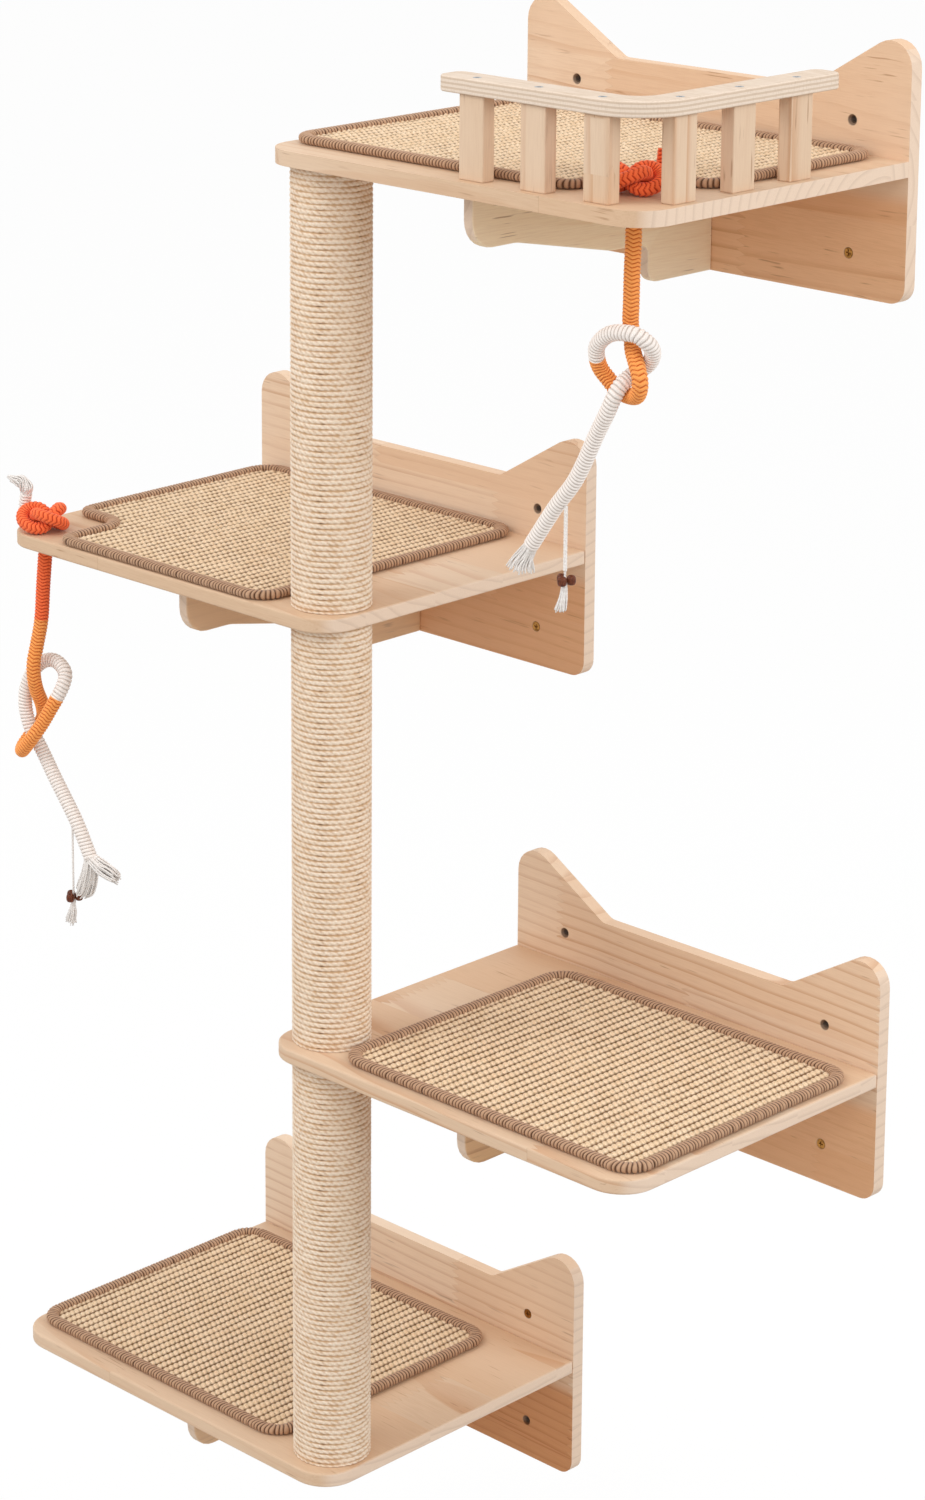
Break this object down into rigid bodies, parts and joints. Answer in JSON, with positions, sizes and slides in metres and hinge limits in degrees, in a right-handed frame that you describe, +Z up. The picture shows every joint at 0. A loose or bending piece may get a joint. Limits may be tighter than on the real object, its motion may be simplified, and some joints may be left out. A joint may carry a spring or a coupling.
{
  "type": "cat wall step",
  "caption": "Wall-mounted cat climbing tower: staggered shelves on ear-shaped back boards, joined by a sisal-wound column, with woven mats, a guard rail and hanging rope toys.",
  "frame": {"origin": "middle of the top back board's upper pair of wall holes, on the wall face", "axes": "+X right along the wall seen from the front, +Y into the wall, +Z up"},
  "size_m": [0.8995, 0.4215, 1.5958],
  "materials": {
    "pine": "clear-lacquered light pine with fine grain",
    "plywood": "pale sanded plywood with layered edges",
    "mat_weave": "coarse woven sisal in raised rows",
    "mat_binding": "brown ribbed edge binding",
    "sisal": "wound twisted sisal rope",
    "cardboard": "plain brown paper tube",
    "zinc_steel": "zinc-plated",
    "brass": "yellow-passivated screw",
    "rope_red": "red-orange yarn-covered rope",
    "rope_orange": "orange yarn-covered rope, turning to off-white in its lower half",
    "cotton": "off-white cotton yarn",
    "bead_wood": "dark brown polished beads"
  },
  "bodies": {
    "root": {"back_board_1": "pine", "back_board_2": "pine", "back_board_3": "pine", "back_board_4": "pine", "shelf_1": "pine", "shelf_2": "pine", "shelf_3": "pine", "shelf_4": "pine", "gusset_1": "pine", "gusset_2": "pine", "gusset_3": "pine", "gusset_4": "pine", "mat_1": "mat_weave", "mat_2": "mat_weave", "mat_3": "mat_weave", "mat_4": "mat_weave", "mat_binding_1": "mat_binding", "mat_binding_2": "mat_binding", "mat_binding_3": "mat_binding", "mat_binding_4": "mat_binding", "shelf_screws_1": "zinc_steel", "shelf_screws_2": "zinc_steel", "shelf_screws_3": "zinc_steel", "shelf_screws_4": "zinc_steel", "wall_screws": "brass", "post_core_1": "cardboard", "post_core_2": "cardboard", "post_core_3": "cardboard", "post_plugs_1": "pine", "post_plugs_2": "pine", "post_plugs_3": "pine", "sisal_winding_1": "sisal", "sisal_winding_2": "sisal", "sisal_winding_3": "sisal", "column_top_bolt": "zinc_steel", "column_studs": "zinc_steel", "column_foot_bolt": "zinc_steel", "guard_rail": "plywood", "baluster_1": "pine", "baluster_2": "pine", "baluster_3": "pine", "baluster_4": "pine", "baluster_5": "pine", "baluster_6": "pine", "rail_screws": "zinc_steel", "baluster_screws": "zinc_steel", "toy_knot_1": "rope_red", "toy_knot_2": "rope_red", "toy_knot_fray_2": "cotton"},
    "toy_1": {"toy_rope_1": "rope_orange", "toy_fray_1": "cotton"},
    "toy_1_beads": {"toy_cord_1": "cotton", "toy_beads_1": "bead_wood", "toy_tassel_1": "cotton"},
    "toy_2": {"toy_rope_2": "rope_orange", "toy_fray_2": "cotton"},
    "toy_2_beads": {"toy_cord_2": "cotton", "toy_beads_2": "bead_wood", "toy_tassel_2": "cotton"}
  },
  "joints": [
    {"name": "toy_1_swing", "type": "hinge", "parent": "root", "child": "toy_1", "pos_m": [0.156, -0.301, -0.0533], "axis": [1, 0, 0], "range_deg": [-40, 40]},
    {"name": "toy_1_beads_swing", "type": "hinge", "parent": "toy_1", "child": "toy_1_beads", "pos_m": [0.0805, -0.301, -0.3374], "axis": [1, 0, 0], "range_deg": [-60, 60]},
    {"name": "toy_2_swing", "type": "hinge", "parent": "root", "child": "toy_2", "pos_m": [-0.61, -0.344, -0.5033], "axis": [1, 0, 0], "range_deg": [-40, 40]},
    {"name": "toy_2_beads_swing", "type": "hinge", "parent": "toy_2", "child": "toy_2_beads", "pos_m": [-0.5756, -0.344, -0.8008], "axis": [1, 0, 0], "range_deg": [-60, 60]}
  ]
}
